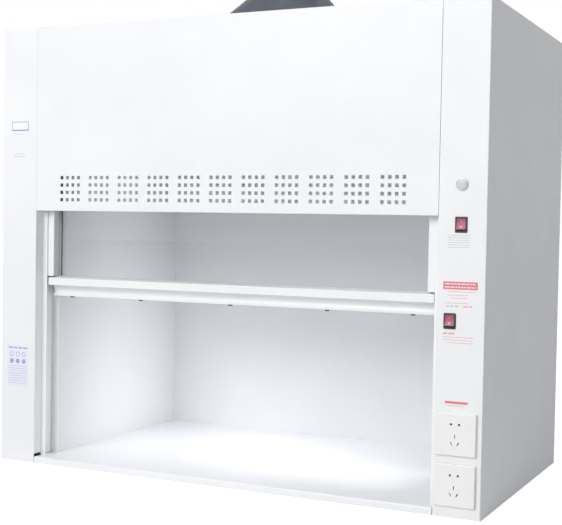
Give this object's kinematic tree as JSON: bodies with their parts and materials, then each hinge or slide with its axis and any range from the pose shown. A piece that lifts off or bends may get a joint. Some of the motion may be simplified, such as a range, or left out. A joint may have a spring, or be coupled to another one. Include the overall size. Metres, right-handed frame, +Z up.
{
  "type": "benchtop fume hood",
  "caption": "Bench fume hood with a counterweighted vertical sash, lined chamber, vented fascia, side controls, sockets and a round roof spigot for an exhaust hose.",
  "frame": {"origin": "middle of the floor pan's underside, on the bench", "axes": "+X to the user's right along the width, -Y out of the front opening, +Z up"},
  "size_m": [1.2, 0.689, 1.185],
  "materials": {
    "white_painted_steel": "satin white powder coat on folded sheet steel",
    "worktop_laminate": "white solid laminate board",
    "liner_board": "white solid laminate lining board",
    "white_coated_aluminium": "white powder coated extrusion",
    "galvanised_steel": "galvanised sheet",
    "dark_polypropylene": "dark blue-grey moulded collar",
    "opal_acrylic": "opal diffuser",
    "white_moulding": "white moulding",
    "sash_glass": "clear toughened glass",
    "black_rubber": "black glazing gasket",
    "grey_rubber": "grey rubber",
    "white_nylon": "natural nylon",
    "zinc_steel": "zinc plated",
    "steel_cable": "stranded steel cable",
    "painted_steel_bar": "grey painted steel bar",
    "black_moulding": "black moulding",
    "red_rocker": "translucent red moulding",
    "stainless_steel": "turned and brushed",
    "black_nylon": "black nylon"
  },
  "bodies": {
    "cabinet": {"left_side_panel": "white_painted_steel", "right_side_panel": "white_painted_steel", "back_panel": "white_painted_steel", "base_pan": "white_painted_steel", "roof_panel": "white_painted_steel", "front_fascia": "white_painted_steel", "worktop": "worktop_laminate", "left_liner": "liner_board", "right_liner": "liner_board", "back_liner": "liner_board", "ceiling_liner": "liner_board", "left_sash_guide": "white_coated_aluminium", "right_sash_guide": "white_coated_aluminium", "inner_duct": "galvanised_steel", "lamp_housing": "galvanised_steel", "exhaust_collar": "dark_polypropylene", "lamp_diffuser": "opal_acrylic", "left_pulley_bracket": "zinc_steel", "right_pulley_bracket": "zinc_steel", "left_pulley_axle": "zinc_steel", "right_pulley_axle": "zinc_steel", "collar_screws": "zinc_steel", "back_panel_screws": "zinc_steel", "left_sash_cable": "steel_cable", "right_sash_cable": "steel_cable", "left_pulley_cable": "steel_cable", "right_pulley_cable": "steel_cable", "left_weight_cable": "steel_cable", "right_weight_cable": "steel_cable", "light_switch_housing": "black_moulding", "fan_switch_housing": "black_moulding", "power_button_body": "stainless_steel", "power_button_nut": "stainless_steel", "upper_socket_plate": "white_moulding", "lower_socket_plate": "white_moulding", "upper_socket_core": "white_moulding", "lower_socket_core": "white_moulding", "mains_gland": "black_nylon", "mains_gland_cap": "black_nylon", "mains_gland_nut": "black_nylon"},
    "sash": {"left_stile": "white_coated_aluminium", "right_stile": "white_coated_aluminium", "sash_top_rail": "white_coated_aluminium", "sash_handle_rail": "white_coated_aluminium", "left_rail_end_cap": "white_moulding", "right_rail_end_cap": "white_moulding", "sash_glass": "sash_glass", "left_glass_gasket": "black_rubber", "right_glass_gasket": "black_rubber", "sash_glides": "white_nylon", "sash_bumpers": "grey_rubber", "cable_ferrules": "zinc_steel"},
    "left_counterweight": {"left_counterweight": "painted_steel_bar"},
    "right_counterweight": {"right_counterweight": "painted_steel_bar"},
    "left_pulley": {"left_pulley": "white_nylon"},
    "right_pulley": {"right_pulley": "white_nylon"},
    "light_rocker": {"light_switch_rocker": "red_rocker"},
    "fan_rocker": {"fan_switch_rocker": "red_rocker"},
    "power_button": {"power_button_cap": "stainless_steel"}
  },
  "joints": [
    {"name": "sash_slide", "type": "slide", "parent": "cabinet", "child": "sash", "axis": [0, 0, 1], "range_m": [-0.3827, 0], "deforming": ["left_sash_cable", "right_sash_cable"]},
    {"name": "left_weight_slide", "type": "slide", "parent": "cabinet", "child": "left_counterweight", "axis": [0, 0, 1], "range_m": [0, 0.3827], "deforming": ["left_weight_cable"]},
    {"name": "right_weight_slide", "type": "slide", "parent": "cabinet", "child": "right_counterweight", "axis": [0, 0, 1], "range_m": [0, 0.3827], "deforming": ["right_weight_cable"]},
    {"name": "left_pulley_turn", "type": "hinge", "parent": "cabinet", "child": "left_pulley", "pos_m": [-0.507, -0.2825, 1.018], "axis": [0, 1, 0], "range_deg": [0, 1462]},
    {"name": "right_pulley_turn", "type": "hinge", "parent": "cabinet", "child": "right_pulley", "pos_m": [0.507, -0.2825, 1.018], "axis": [0, 1, 0], "range_deg": [-1462, 0]},
    {"name": "light_switch_tilt", "type": "hinge", "parent": "cabinet", "child": "light_rocker", "pos_m": [0.548, -0.326, 0.5887], "axis": [1, 0, 0], "range_deg": [0, 18]},
    {"name": "fan_switch_tilt", "type": "hinge", "parent": "cabinet", "child": "fan_rocker", "pos_m": [0.5285, -0.326, 0.3957], "axis": [1, 0, 0], "range_deg": [0, 18]},
    {"name": "power_button_push", "type": "slide", "parent": "cabinet", "child": "power_button", "axis": [0, 1, 0], "range_m": [0, 0.0025], "stiffness_N_per_m": 800}
  ],
  "couplings": [
    {"joint": "left_weight_slide", "follows": "sash_slide", "ratio": -1},
    {"joint": "right_weight_slide", "follows": "sash_slide", "ratio": -1},
    {"joint": "left_pulley_turn", "follows": "sash_slide", "rad_per_m": -66.667},
    {"joint": "right_pulley_turn", "follows": "sash_slide", "rad_per_m": 66.667}
  ]
}
